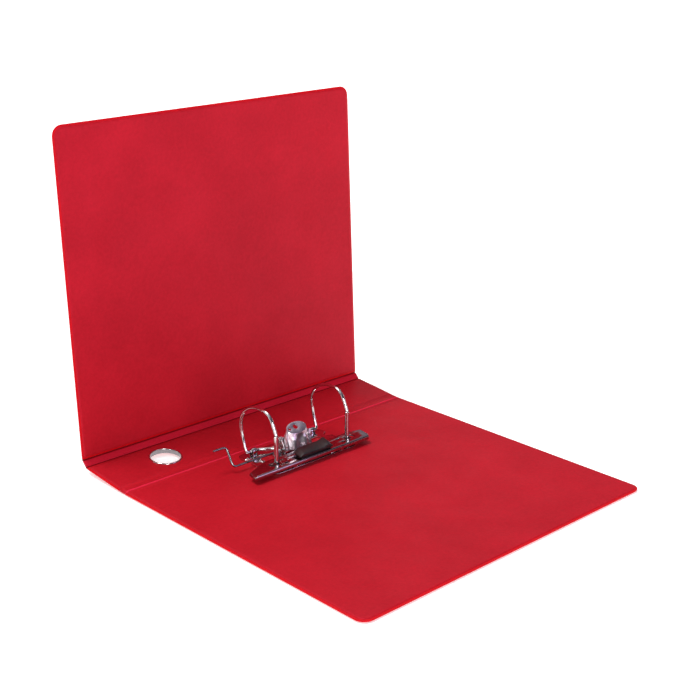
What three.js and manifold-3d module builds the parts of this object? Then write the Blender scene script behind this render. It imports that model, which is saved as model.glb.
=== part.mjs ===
// A lever arch file, open: it lies on its back cover, the spine is almost flat behind it, and the front
// cover stands up. Millimetres, +X along the spine, +Y from the back cover's fore-edge to its spine edge,
// +Z up. The origin is the middle of the back cover's outer face.
import * as THREE from "three";
import { mergeVertices } from "three/addons/utils/BufferGeometryUtils.js";
import Module from "manifold-3d";

// ---- driving dimensions ----------------------------------------------------------------------------

const HEIGHT = 312.4; // of the covers and the spine, along the spine
const COVER_DEPTH = 277.6; // from the fore-edge to the crease
const SPINE_WIDTH = 48.7;
const STRIP_WIDTH = 7.4; // the unstiffened strip between two boards, crease to crease
const PANEL = 3; // whole thickness of a panel
const SKIN = 0.5; // each plastic skin
const RIM = 1.8; // welded rim around a board
const SKIN_GAP = 0.1; // between a skin and its board
const CREASE_GAP = 0.6; // from a crease line to the board or strip edge beside it
const FORE_CORNER = 9; // radius of the two fore-edge corners
const HINGE_CORNER = 1.5; // radius of the corners next to a crease
const STRIP_THICKNESS = 1.6;

// Each hinge folds at its two creases, by the same angle at each. Flat is 0.
const REAR_CREASE = 2.5; // degrees at each rear crease as the file stands open
const FRONT_CREASE = 41.3; // degrees at each front crease

const RING = {
  x: -93,
  hole: 13,
  barrel: 13.4,
  boardHole: 13.7,
  outerFlange: 16.2,
  innerFlange: 14.4,
  proud: 0.8,
};
const LABEL = { length: 110, width: 31.5, thickness: 0.3, fromTop: 42.6, corner: 2.5 };
const POCKET = { length: 124, width: 41.5, weld: 1.8, sheet: 0.2 };

const MECHANISM_X = -1.3; // the mechanism's middle, from the file's
const POST_SPACING = 80;
const POST_Y = 85.8;
const POST = { radius: 2, top: 35.1, mouth: 1.75, mouthDepth: 1.3 };
const PLATE = { bottom: 3.2, thickness: 1.2, half: 46, front: 79.5, rear: 131.5, corner: 4 };
const PLATE_TOP = PLATE.bottom + PLATE.thickness;
const WINDOW = { inner: 21.5, outer: 34.5, front: 93.5, rear: 117 };
const RIVETS = [
  { x: -19, y: 84.5 },
  { x: 19, y: 84.5 },
  { x: -9, y: 126.5 },
  { x: 9, y: 126.5 },
];
const RIVET = { shank: 2.2, hole: 2.6, head: 4, headHeight: 1.6, clinch: 4.4, clinchHole: 4.8 };

const WIRE = 1.4; // radius of the arch wire
const ARCH_HINGE = { y: 124.6, z: 7.8 };
const CROSSBAR = { y: 112.5, half: 10 };
const BEARING_AT = 33; // middle of each arch bearing, from the mechanism's middle

const PIVOT = { y: 111.75, z: 16.35, pin: 1.5, hole: 1.6 }; // lever on its ears
const ROLLER = { y: 109.45, z: 10.85, radius: 2.6, bore: 1.3, pin: 1.2, half: 10.4 };
const LEVER = {
  bottom: 8.6,
  bend: 21.4,
  top: 30.6,
  footHalf: 15, // half its width at the foot
  padHalf: 10.6, // half its width at the bend, where the pad starts
  thickness: 1.4,
  flange: 12.2,
  flangeThickness: 1.1,
};
const EAR = { inside: 14.2, thickness: 1.2, lobe: 3.6 };

const LATCH = { y: 107.8, z: 8.8, radius: 1, x: -68.2, end: -14.3, riser: 17.7, lean: 30, tip: 13.5, bend: 4 };

const BAR = { front: 76.6, rear: 95.8, top: 10.8, bottom: 7.4, sheet: 1 };
// The bar's outline, counterclockwise. Its left end tapers, and its right end has cut corners.
const BAR_OUTLINE = [
  [-69.6, BAR.front],
  [57.6, BAR.front],
  [59.8, 80.2],
  [62, 91],
  [61.1, 92.5],
  [47.5, BAR.rear],
  [-45.5, BAR.rear],
  [-67.9, 87.2],
];
const BUTTON = {
  x: -0.5,
  half: 18.4,
  front: 77.9,
  rear: 90.4,
  skew: 0.25, // shift in x of its ends per millimetre of y
  bottom: 12.4,
  top: 16.3,
  rise: 1.5,
  neckHalf: 16.3,
  neckBottom: 9.4,
};
const LOCK_PLATE = { inner: 15, outer: 47, width: 9, thickness: 0.9, z: 7.95, tilt: 1.6 };

// ---- solids ----------------------------------------------------------------------------------------

const wasm = await Module();
wasm.setup();
const radians = THREE.MathUtils.degToRad;

// A closed geometry as a solid that can be joined and cut.
function solid(geometry) {
  geometry.deleteAttribute("normal");
  geometry.deleteAttribute("uv");
  const merged = mergeVertices(geometry, 1e-4);
  return new wasm.Manifold(
    new wasm.Mesh({
      numProp: 3,
      vertProperties: merged.attributes.position.array,
      triVerts: new Uint32Array(merged.index.array),
    }),
  );
}

function geometryOf(shape) {
  const { vertProperties, triVerts } = shape.getMesh();
  const geometry = new THREE.BufferGeometry();
  geometry.setAttribute("position", new THREE.BufferAttribute(new Float32Array(vertProperties), 3));
  geometry.setIndex(new THREE.BufferAttribute(new Uint32Array(triVerts), 1));
  geometry.computeVertexNormals();
  return geometry;
}

const join = (...shapes) => shapes.reduce((all, shape) => all.add(shape));
const cut = (shape, ...tools) => tools.reduce((rest, tool) => rest.subtract(tool), shape);

function block(x, y, z) {
  const geometry = new THREE.BoxGeometry(x[1] - x[0], y[1] - y[0], z[1] - z[0]);
  geometry.translate((x[0] + x[1]) / 2, (y[0] + y[1]) / 2, (z[0] + z[1]) / 2);
  return solid(geometry);
}

// An outline in X and Y, from one height to another.
function plate(shape, low, high, curveSegments = 3) {
  const geometry = new THREE.ExtrudeGeometry(shape, { depth: high - low, bevelEnabled: false, curveSegments });
  geometry.translate(0, 0, low);
  return solid(geometry);
}

const ALONG_X = new THREE.Matrix4().makeBasis(
  new THREE.Vector3(0, 1, 0),
  new THREE.Vector3(0, 0, 1),
  new THREE.Vector3(1, 0, 0),
);

// An outline in Y and Z, from one x to another.
function sidePlate(shape, from, to, curveSegments = 3) {
  const geometry = new THREE.ExtrudeGeometry(shape, { depth: to - from, bevelEnabled: false, curveSegments });
  geometry.translate(0, 0, from);
  geometry.applyMatrix4(ALONG_X);
  return solid(geometry);
}

function rodAlongX(radius, from, to, y, z, sides = 14) {
  const geometry = new THREE.CylinderGeometry(radius, radius, to - from, sides);
  geometry.rotateZ(-Math.PI / 2);
  geometry.translate((from + to) / 2, y, z);
  return solid(geometry);
}

function disc(radius, low, high, x, y, sides = 24) {
  const geometry = new THREE.CylinderGeometry(radius, radius, high - low, sides);
  geometry.rotateX(Math.PI / 2);
  geometry.translate(x, y, (low + high) / 2);
  return solid(geometry);
}

// A profile of [radius, height] turned about a vertical axis at x, y.
function turned(profile, x, y, sides = 32) {
  const points = profile.map(([radius, height]) => new THREE.Vector2(radius, height));
  const geometry = new THREE.LatheGeometry(points, sides);
  geometry.rotateX(Math.PI / 2);
  geometry.translate(x, y, 0);
  return solid(geometry);
}

function polygon(points) {
  return new THREE.Shape(points.map(([u, v]) => new THREE.Vector2(u, v)));
}

// A convex counterclockwise outline, each side moved inwards by the same distance.
function inset(points, by) {
  const sides = points.map((from, i) => {
    const to = points[(i + 1) % points.length];
    const length = Math.hypot(to[0] - from[0], to[1] - from[1]);
    const along = [(to[0] - from[0]) / length, (to[1] - from[1]) / length];
    return { along, at: [from[0] - along[1] * by, from[1] + along[0] * by] };
  });
  return sides.map((side, i) => {
    const before = sides[(i + points.length - 1) % points.length];
    const gap = [side.at[0] - before.at[0], side.at[1] - before.at[1]];
    const turn = before.along[0] * side.along[1] - before.along[1] * side.along[0];
    const t = (gap[0] * side.along[1] - gap[1] * side.along[0]) / turn;
    return [before.at[0] + before.along[0] * t, before.at[1] + before.along[1] * t];
  });
}

// A rectangle with its own corner radius on the low-y and on the high-y side.
function roundedRectangle(x, y, lowRadius, highRadius = lowRadius) {
  const shape = new THREE.Shape();
  shape.absarc(x[0] + lowRadius, y[0] + lowRadius, lowRadius, Math.PI, 1.5 * Math.PI, false);
  shape.absarc(x[1] - lowRadius, y[0] + lowRadius, lowRadius, 1.5 * Math.PI, 2 * Math.PI, false);
  shape.absarc(x[1] - highRadius, y[1] - highRadius, highRadius, 0, 0.5 * Math.PI, false);
  shape.absarc(x[0] + highRadius, y[1] - highRadius, highRadius, 0.5 * Math.PI, Math.PI, false);
  return shape;
}

// A wire of round section along a list of points.
function wire(points, radius, steps, sides = 8) {
  const section = new THREE.Shape();
  section.absarc(0, 0, radius, 0, 2 * Math.PI, false);
  const extrudePath = new THREE.CatmullRomCurve3(points, false, "centripetal");
  return solid(new THREE.ExtrudeGeometry(section, { steps, extrudePath, curveSegments: sides / 2 }));
}

// The points of a bent wire: straight runs between corners, each corner rounded to the radius given.
function bent(corners, radius, perBend = 4) {
  const points = [corners[0]];
  for (let i = 1; i < corners.length - 1; i++) {
    const [before, at, after] = [corners[i - 1], corners[i], corners[i + 1]];
    const start = at.clone().add(before.clone().sub(at).setLength(radius));
    const end = at.clone().add(after.clone().sub(at).setLength(radius));
    points.push(...new THREE.QuadraticBezierCurve3(start, at, end).getPoints(perBend));
  }
  points.push(corners[corners.length - 1]);
  return points;
}

const vector = (x, y, z) => new THREE.Vector3(x, y, z);

// ---- materials -------------------------------------------------------------------------------------

function material(color, roughness, metalness = 0) {
  return new THREE.MeshStandardMaterial({ color, roughness, metalness });
}

const RED_PLASTIC = material(0xb81224, 0.45);
const GREYBOARD = material(0x8c8474, 0.9);
const NICKEL = material(0xc9c9cc, 0.22, 1);
const LEVER_NICKEL = material(0xbdb8bc, 0.4, 1);
const BLACK_PLASTIC = material(0x15120f, 0.5);
const CARD = material(0xcfd0e6, 0.8);
const CLEAR_PLASTIC = material(0xe8d8dc, 0.15);
CLEAR_PLASTIC.transparent = true;
CLEAR_PLASTIC.opacity = 0.35;

function addPiece(group, name, shape, look) {
  const mesh = new THREE.Mesh(geometryOf(shape), look);
  mesh.name = name;
  group.add(mesh);
}

// ---- panels ----------------------------------------------------------------------------------------

// A stiffened panel is a board between two skins, whose outer one turns up around the board and meets
// the inner one. Its frame has its crease on the X axis and its middle plane at z 0, inner face up.
function addPanel(group, name, y, radii, holes = []) {
  const half = HEIGHT / 2;
  const inset = RIM + SKIN_GAP;
  const low = -PANEL / 2;
  const high = PANEL / 2;
  const outline = roundedRectangle([-half, half], y, ...radii);
  const hollow = (by) =>
    roundedRectangle(
      [by - half, half - by],
      [y[0] + by, y[1] - by],
      ...radii.map((radius) => Math.max(radius - by, 0.4)),
    );
  const drill = (shape, which, from, to) =>
    cut(shape, ...holes.map((hole) => disc(hole[which], from, to, hole.x, hole.y, hole.sides)));

  const tray = cut(plate(outline, low, high - SKIN - SKIN_GAP), plate(hollow(RIM), low + SKIN, high));
  const core = plate(hollow(inset), low + SKIN + SKIN_GAP, high - SKIN - SKIN_GAP);
  const lining = plate(outline, high - SKIN, high);
  addPiece(group, `${name}_outer_skin`, drill(tray, "outer", low - 1, high + 1), RED_PLASTIC);
  addPiece(group, `${name}_board`, drill(core, "radius", low - 1, high + 1), GREYBOARD);
  addPiece(group, `${name}_inner_skin`, drill(lining, "radius", low - 1, high + 1), RED_PLASTIC);
}

// The strip between two boards is the two skins alone, with edges bevelled so that it can fold.
function addHingeStrip(group, name) {
  const half = HEIGHT / 2;
  const t = STRIP_THICKNESS / 2;
  const bevel = 0.5;
  const [near, far] = [CREASE_GAP, STRIP_WIDTH - CREASE_GAP];
  const section = polygon([
    [near, -t],
    [far, -t],
    [far, t - bevel],
    [far - bevel, t],
    [near + bevel, t],
    [near, t - bevel],
  ]);
  addPiece(group, name, sidePlate(section, -half, half), RED_PLASTIC);
}

// ---- thumb ring, label -----------------------------------------------------------------------------

function addThumbRing(group) {
  const y = SPINE_WIDTH / 2;
  const face = PANEL / 2;
  const gap = 0.05;
  const { x, hole, barrel, outerFlange, innerFlange, proud } = RING;
  const slope = 0.6; // width of the flange's sloping edge
  const outer = [
    [hole, -face - proud + 0.3],
    [hole + 0.5, -face - proud],
    [outerFlange - slope, -face - proud],
    [outerFlange, -face - gap - 0.2],
    [outerFlange, -face - gap],
    [barrel, -face - gap],
    [barrel, face - 0.1],
    [hole, face - 0.1],
    [hole, -face - proud + 0.3],
  ];
  const inner = [
    [hole, face + proud - 0.3],
    [hole, face + gap],
    [innerFlange, face + gap],
    [innerFlange, face + gap + 0.2],
    [innerFlange - slope, face + proud],
    [hole + 0.5, face + proud],
    [hole, face + proud - 0.3],
  ];
  addPiece(group, "thumb_ring_outer", turned(outer, x, y), NICKEL);
  addPiece(group, "thumb_ring_inner", turned(inner, x, y), NICKEL);
}

// The pocket is a clear sheet, welded to the spine along three sides and open towards the ring.
function addLabel(group) {
  const y = SPINE_WIDTH / 2;
  const top = HEIGHT / 2 - LABEL.fromTop;
  const face = -PANEL / 2;
  const gap = 0.05;
  const cardTop = face - gap;
  const cardBottom = cardTop - LABEL.thickness;
  const sheetTop = cardBottom - gap;
  const sheetBottom = sheetTop - POCKET.sheet;
  const closed = top + (POCKET.length - LABEL.length) / 2;
  const open = closed - POCKET.length;
  const across = [y - POCKET.width / 2, y + POCKET.width / 2];

  const sheet = block([open, closed], across, [sheetBottom, sheetTop]);
  const weldTop = face - 0.03;
  const welds = [
    block([open, closed], [across[0], across[0] + POCKET.weld], [sheetBottom, weldTop]),
    block([open, closed], [across[1] - POCKET.weld, across[1]], [sheetBottom, weldTop]),
    block([closed - POCKET.weld, closed], across, [sheetBottom, weldTop]),
  ];
  addPiece(group, "label_pocket", join(sheet, ...welds), CLEAR_PLASTIC);

  const card = roundedRectangle(
    [top - LABEL.length, top],
    [y - LABEL.width / 2, y + LABEL.width / 2],
    LABEL.corner,
  );
  addPiece(group, "label_card", plate(card, cardBottom, cardTop, 3), CARD);
}

// ---- mechanism, in a frame whose x is 0 at its own middle --------------------------------------------

// A loop of sheet metal that holds a wire down on the base plate.
function curl(x, width, y, z, bore, wall) {
  return cut(
    join(
      rodAlongX(bore + wall, x - width / 2, x + width / 2, y, z),
      block([x - width / 2, x + width / 2], [y - 1, y + 1], [PLATE.bottom + 0.2, z - bore]),
    ),
    rodAlongX(bore, x - width, x + width, y, z),
  );
}

// An upright lug that carries the lever's pin and, lower down, the end of the cranked wire.
function ear(from, to) {
  const { y, z, radius } = LATCH;
  const foot = polygon([
    [103.5, PLATE.bottom + 0.2],
    [112.6, PLATE.bottom + 0.2],
    [112.6, 9.2],
    [PIVOT.y + EAR.lobe - 0.3, PIVOT.z - 1],
    [PIVOT.y - EAR.lobe + 0.3, PIVOT.z + 1],
    [103.5, 8.5],
  ]);
  const lobe = rodAlongX(EAR.lobe, from, to, PIVOT.y, PIVOT.z);
  const hole = rodAlongX(PIVOT.hole, from - 1, to + 1, PIVOT.y, PIVOT.z);
  const latchHole = rodAlongX(radius + 0.1, from - 1, to + 1, y, z);
  return cut(join(sidePlate(foot, from, to), lobe), hole, latchHole);
}

function addBasePlate(group) {
  const { half, front, rear, corner, bottom } = PLATE;
  const sheet = plate(roundedRectangle([-half, half], [front, rear], corner), bottom, PLATE_TOP);
  const windows = [-1, 1].map((side) => {
    const x = [WINDOW.inner * side, WINDOW.outer * side].sort((a, b) => a - b);
    return plate(roundedRectangle(x, [WINDOW.front, WINDOW.rear], 3), bottom - 1, PLATE_TOP + 1, 3);
  });
  const notches = [-1, 1].map((side) => {
    const x = [(half - 5) * side, (half + 3) * side].sort((a, b) => a - b);
    return plate(roundedRectangle(x, [112.5, 119.5], 2), bottom - 1, PLATE_TOP + 1, 3);
  });
  const posts = [-1, 1].map((side) =>
    disc(POST.radius + 0.3, bottom - 1, PLATE_TOP + 1, (side * POST_SPACING) / 2, POST_Y, 16),
  );
  const rivets = RIVETS.map(({ x, y }) => disc(RIVET.hole, bottom - 1, PLATE_TOP + 1, x, y, 16));
  const bearings = [-1, 1].map((side) =>
    curl(BEARING_AT * side, 4.4, ARCH_HINGE.y, ARCH_HINGE.z, WIRE + 0.3, 1.4),
  );
  const latchBearing = curl(-19.4, 3.4, LATCH.y, LATCH.z, LATCH.radius + 0.1, 1);
  const ears = [
    ear(EAR.inside, EAR.inside + EAR.thickness),
    ear(-EAR.inside - EAR.thickness, -EAR.inside),
  ];
  const stamped = cut(sheet, ...windows, ...notches, ...posts, ...rivets);
  addPiece(group, "base_plate", join(stamped, ...bearings, latchBearing, ...ears), NICKEL);
}

// A post stands on the base plate. Its mouth is a countersink that takes the tip of an arch.
function addPost(group, name, x) {
  const { radius, top, mouth, mouthDepth } = POST;
  const foot = PLATE_TOP + 0.1;
  const profile = [
    [0, PLATE.bottom + 0.1],
    [radius, PLATE.bottom + 0.1],
    [radius, foot],
    [radius + 1.2, foot],
    [radius + 1.2, foot + 0.8],
    [radius, foot + 1.2],
    [radius, top - 0.3],
    [mouth, top],
    [0.6, top - mouthDepth],
    [0, top - mouthDepth],
  ];
  addPiece(group, name, turned(profile, x, POST_Y, 16), NICKEL);
}

// A rivet is clinched in the outer skin and has its dome on the base plate.
function addRivet(group, name, { x, y }) {
  const { shank, head, headHeight, clinch } = RIVET;
  const dome = PLATE_TOP + 0.1;
  const profile = [
    [0, 0.05],
    [clinch, 0.05],
    [clinch, SKIN - 0.05],
    [shank, SKIN - 0.05],
    [shank, dome],
    [head, dome],
    [head * 0.8, dome + headHeight * 0.6],
    [head * 0.4, dome + headHeight],
    [0, dome + headHeight],
  ];
  addPiece(group, name, turned(profile, x, y, 16), NICKEL);
}

function addPivotPin(group) {
  const head = EAR.inside + EAR.thickness + 0.3;
  const { y, z, pin } = PIVOT;
  const shape = join(
    rodAlongX(pin, -head - 0.9, head + 0.9, y, z),
    rodAlongX(pin + 1.1, head, head + 0.9, y, z),
    rodAlongX(pin + 1.1, -head - 0.9, -head, y, z),
  );
  addPiece(group, "lever_pivot_pin", shape, NICKEL);
}

// A leaf under the crossbar lifts the arches once the roller lets go.
function addOpeningSpring(group) {
  const leaf = polygon([
    [97.5, PLATE_TOP + 0.15],
    [103, PLATE_TOP + 0.15],
    [110.5, 5.5],
    [114.2, 5.5],
    [114.2, 6.1],
    [110.3, 6.1],
    [102.8, PLATE_TOP + 0.75],
    [97.5, PLATE_TOP + 0.75],
  ]);
  addPiece(group, "opening_spring", sidePlate(leaf, -4.5, 4.5), NICKEL);
}

// The left half of the wire: from the arch's tip over its top and down to the hinge, along the hinge
// line through the bearing, and by a crank to the middle of the crossbar.
function halfArch() {
  const x = -POST_SPACING / 2;
  const { y, z } = ARCH_HINGE;
  const tip = vector(x, POST_Y, POST.top + 0.3);
  const brow = vector(x, 90, 44.6);
  const shoulder = vector(x, 92.6, 48.7);
  const top = vector(x, 107, 53.3);
  const back = vector(x, 131.6, 33.3);
  const foot = vector(x, 126.8, 11.4);
  const curves = [
    new THREE.QuadraticBezierCurve3(brow, vector(x, 91, 46.8), shoulder),
    new THREE.CubicBezierCurve3(shoulder, vector(x, 96, 52.6), vector(x, 101, 53.3), top),
    new THREE.CubicBezierCurve3(top, vector(x, 119.5, 53.3), vector(x, 131.6, 44.5), back),
    new THREE.CubicBezierCurve3(back, vector(x, 131.6, 28), vector(x, 129.9, 19.5), foot),
  ];
  const hinge = [
    foot,
    vector(x, y + 0.4, z),
    vector(-BEARING_AT + 5, y, z),
    vector(-CROSSBAR.half - 0.5, CROSSBAR.y, z),
    vector(0, CROSSBAR.y, z),
  ];
  const points = new THREE.LineCurve3(tip, brow).getPoints(4);
  curves.forEach((curve) => points.push(...curve.getPoints(8).slice(1)));
  points.push(...bent(hinge, 2.8).slice(1));
  return points;
}

// The two arches and the crossbar between them are one wire. Each tip ends in a small nib.
function addArchWire(group) {
  const left = halfArch();
  const right = left.slice(0, -1).map((point) => vector(-point.x, point.y, point.z));
  const nib = [
    [0, POST.top - 0.9],
    [0.35, POST.top - 0.9],
    [0.95, POST.top + 0.3],
    [0.95, POST.top + 1.5],
    [0, POST.top + 1.5],
  ];
  const nibs = [-1, 1].map((side) => turned(nib, (side * POST_SPACING) / 2, POST_Y, 8));
  addPiece(group, "arch_wire", join(wire([...left, ...right.reverse()], WIRE, 110), ...nibs), NICKEL);
}

// The lever is a stamped channel: a ribbed front, a top bent back with a hole, and two flanges.
function addLever(group) {
  const { bottom, bend, top, footHalf, padHalf, thickness, flange, flangeThickness } = LEVER;
  const profile = polygon([
    [101, bottom],
    [101 + thickness, bottom],
    [103.4 + thickness, bend - 0.3],
    [108.6 + thickness, top],
    [108.4, top],
    [103.2, bend],
  ]);
  const front = new THREE.Shape();
  front.moveTo(-footHalf, bottom - 1);
  front.lineTo(footHalf, bottom - 1);
  front.lineTo(padHalf, bend);
  front.absellipse(0, bend + 1, padHalf, top - bend - 1, 0, Math.PI, false);
  front.lineTo(-padHalf, bend);
  const outlineGeometry = new THREE.ExtrudeGeometry(front, { depth: 20, bevelEnabled: false, curveSegments: 10 });
  outlineGeometry.rotateX(Math.PI / 2);
  outlineGeometry.translate(0, 115, 0);
  const face = sidePlate(profile, -16, 16).intersect(solid(outlineGeometry));

  const cheek = polygon([
    [101.9, bottom + 0.4],
    [ROLLER.y, ROLLER.z - 3],
    [PIVOT.y + 2, PIVOT.z - 2],
    [PIVOT.y, PIVOT.z + 2.8],
    [103.4, 15.5],
  ]);
  const flanges = [flange, -flange - flangeThickness].map((from) => {
    const to = from + flangeThickness;
    return join(
      sidePlate(cheek, from, to),
      rodAlongX(2.9, from, to, PIVOT.y, PIVOT.z),
      rodAlongX(3, from, to, ROLLER.y, ROLLER.z),
    );
  });
  const ribs = [-6, 6].map((x) => {
    const rib = new THREE.CapsuleGeometry(1.9, 7, 3, 8);
    rib.rotateX(Math.PI / 2);
    rib.rotateX(-0.19);
    rib.translate(x, 102.6, 14.2);
    return solid(rib);
  });
  const tools = [
    rodAlongX(PIVOT.hole, -16, 16, PIVOT.y, PIVOT.z),
    rodAlongX(ROLLER.bore, -16, 16, ROLLER.y, ROLLER.z),
    disc(2.3, 20, 40, 0, 107, 16),
  ];
  addPiece(group, "lever", cut(join(face, ...flanges, ...ribs), ...tools), LEVER_NICKEL);
}

function addRoller(group) {
  const { y, z, radius, bore, pin, half } = ROLLER;
  const roller = cut(rodAlongX(radius, -half, half, y, z), rodAlongX(bore, -half - 1, half + 1, y, z));
  addPiece(group, "lever_roller", roller, NICKEL);
  addPiece(group, "roller_pin", rodAlongX(pin, -13.7, 13.7, y, z), NICKEL);
}

// A cranked wire turns in the left ear and in a bearing beside it. Its far end rises and turns away as a finger tab.
function addLatchWire(group) {
  const { y, z, x, end, radius, riser, lean, tip, bend } = LATCH;
  const up = vector(x, y + riser * Math.sin(radians(lean)), z + riser * Math.cos(radians(lean)));
  const corners = [vector(end, y, z), vector(x, y, z), up, vector(x - tip, up.y, up.z)];
  addPiece(group, "latch_wire", wire(bent(corners, bend), radius, 40), NICKEL);
}

// The compressor bar is a folded channel that slides on the posts and presses the papers down. Two lips
// under its front flange carry the lock spring.
function addCompressorBar(group) {
  const { front, top, bottom, sheet } = BAR;
  const shell = cut(
    plate(polygon(BAR_OUTLINE), bottom, top),
    plate(polygon(inset(BAR_OUTLINE, sheet)), bottom - 1, top - sheet),
  );
  const neckGap = BUTTON.neckHalf + 0.6;
  const openings = [plate(roundedRectangle([BUTTON.x - neckGap, BUTTON.x + neckGap], [79.6, 88.7], 1), 5, 12)];
  const lips = [];
  for (const side of [-1, 1]) {
    const span = (near, far) => [near * side, far * side].sort((a, b) => a - b);
    openings.push(plate(roundedRectangle(span(37.2, 47.5), [POST_Y - 2.8, POST_Y + 2.8], 2), 5, 12));
    openings.push(block(span(30, 34), [81, 83], [9, 12]));
    openings.push(block(span(30, 34), [88.4, 89.6], [9, 12]));
    lips.push(block(span(24.5, 28.5), [front, front + sheet], [6.1, bottom + 0.5]));
    lips.push(block(span(24.5, 28.5), [front, POST_Y - 1], [6.1, 6.5]));
  }
  addPiece(group, "compressor_bar", join(cut(shell, ...openings), ...lips), NICKEL);
}

// The button rides above the bar on a neck. Its ends are bevelled, and the right one rises as a finger rest.
function addLockButton(group) {
  const { x, half, front, rear, skew, bottom, top, rise, neckHalf, neckBottom } = BUTTON;
  const crown = polygon([
    [x - half, bottom],
    [x + half, bottom],
    [x + half, bottom + 1],
    [x + half - 3.6, top + rise],
    [x + half - 9.5, top],
    [x - half + 4, top],
    [x - half, bottom + 1],
  ]);
  const crownGeometry = new THREE.ExtrudeGeometry(crown, { depth: rear - front, bevelEnabled: false });
  crownGeometry.rotateX(Math.PI / 2);
  crownGeometry.applyMatrix4(new THREE.Matrix4().makeShear(0, 0, skew, 0, 0, 0));
  crownGeometry.translate(skew * (rear - front) * 0.5, rear, 0);
  const roof = polygon([
    [front, bottom - 1],
    [rear, bottom - 1],
    [rear, bottom + 2.6],
    [rear - 1.8, top + rise + 0.1],
    [front + 3.6, top + rise + 0.1],
    [front, bottom + 1.6],
  ]);
  const cap = solid(crownGeometry).intersect(sidePlate(roof, x - half - 4, x + half + 4));
  const neck = plate(roundedRectangle([x - neckHalf, x + neckHalf], [80.1, 88.2], 1), neckBottom, bottom + 0.5, 3);
  addPiece(group, "lock_button", join(cap, neck), BLACK_PLASTIC);
}

// A lock plate lies tilted on its post inside the bar, and grips the post by the edges of its hole. It
// turns about its outer end, and its inner end lies under the button's neck.
function addLockPlate(group, name, side) {
  const { inner, outer, width, thickness, z, tilt } = LOCK_PLATE;
  const length = outer - inner;
  const across = [-width / 2, width / 2];
  const sheet = cut(
    plate(roundedRectangle(side < 0 ? [0, length] : [-length, 0], across, 1), -thickness / 2, thickness / 2),
    disc(POST.radius + 0.4, -1, 1, side * (POST_SPACING / 2 - outer), 0, 16),
  );
  const hinge = new THREE.Group();
  hinge.position.set(side * outer, POST_Y, z);
  hinge.rotation.y = radians(tilt * side);
  addPiece(hinge, name, sheet, NICKEL);
  group.add(hinge);
}

// A leaf spring on the bar's lips bows up under the button.
function addLockSpring(group) {
  const leaf = polygon([
    [-28, 6.6],
    [-16, 6.6],
    [-9, 8.8],
    [9, 8.8],
    [16, 6.6],
    [28, 6.6],
    [28, 7],
    [16.2, 7],
    [9.2, 9.2],
    [-9.2, 9.2],
    [-16.2, 7],
    [-28, 7],
  ]);
  const geometry = new THREE.ExtrudeGeometry(leaf, { depth: 5, bevelEnabled: false });
  geometry.rotateX(Math.PI / 2);
  geometry.translate(0, POST_Y + 1, 0);
  addPiece(group, "lock_spring", solid(geometry), NICKEL);
}

// ---- assembly --------------------------------------------------------------------------------------

// A group that turns about the X axis at a crease, by an angle that folds its far side up.
function fold(parent, y, z, degrees) {
  const group = new THREE.Group();
  group.position.set(0, y, z);
  group.rotation.x = radians(degrees);
  parent.add(group);
  return group;
}

const file = new THREE.Group();

const backCover = fold(file, COVER_DEPTH / 2, PANEL / 2, 0);
const rivetHoles = RIVETS.map(({ x, y }) => ({
  x: x + MECHANISM_X,
  y: y - COVER_DEPTH / 2,
  radius: RIVET.hole,
  outer: RIVET.clinchHole,
  sides: 16,
}));
addPanel(backCover, "back", [-COVER_DEPTH, -CREASE_GAP], [FORE_CORNER, HINGE_CORNER], rivetHoles);

const rearStrip = fold(backCover, 0, 0, REAR_CREASE);
addHingeStrip(rearStrip, "rear_hinge_strip");

const spine = fold(rearStrip, STRIP_WIDTH, 0, REAR_CREASE);
const ringHole = {
  x: RING.x,
  y: SPINE_WIDTH / 2,
  radius: RING.boardHole,
  outer: RING.boardHole,
  sides: 32,
};
addPanel(spine, "spine", [CREASE_GAP, SPINE_WIDTH - CREASE_GAP], [HINGE_CORNER, HINGE_CORNER], [ringHole]);
addThumbRing(spine);
addLabel(spine);

const frontStrip = fold(spine, SPINE_WIDTH, 0, FRONT_CREASE);
addHingeStrip(frontStrip, "front_hinge_strip");

const frontCover = fold(frontStrip, STRIP_WIDTH, 0, FRONT_CREASE);
addPanel(frontCover, "front", [CREASE_GAP, COVER_DEPTH], [HINGE_CORNER, FORE_CORNER]);

const mechanism = new THREE.Group();
mechanism.position.x = MECHANISM_X;
file.add(mechanism);
addBasePlate(mechanism);
addPost(mechanism, "post_left", -POST_SPACING / 2);
addPost(mechanism, "post_right", POST_SPACING / 2);
RIVETS.forEach((place, i) => addRivet(mechanism, `rivet_${i + 1}`, place));
addPivotPin(mechanism);
addOpeningSpring(mechanism);
addArchWire(mechanism);
addLever(mechanism);
addRoller(mechanism);
addLatchWire(mechanism);
addCompressorBar(mechanism);
addLockButton(mechanism);
addLockPlate(mechanism, "lock_plate_left", -1);
addLockPlate(mechanism, "lock_plate_right", 1);
addLockSpring(mechanism);

export default file;
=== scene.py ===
"""Looks for an open lever arch file. Lengths are millimetres in the making and metres in the scene.

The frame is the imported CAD's: +X runs along the spine from the thumb ring's end to the label's end, +Y from
the back cover's fore-edge to its spine edge, and the table is z 0.
"""

import math

import bmesh
import bpy
from mathutils import Matrix, Vector


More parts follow.
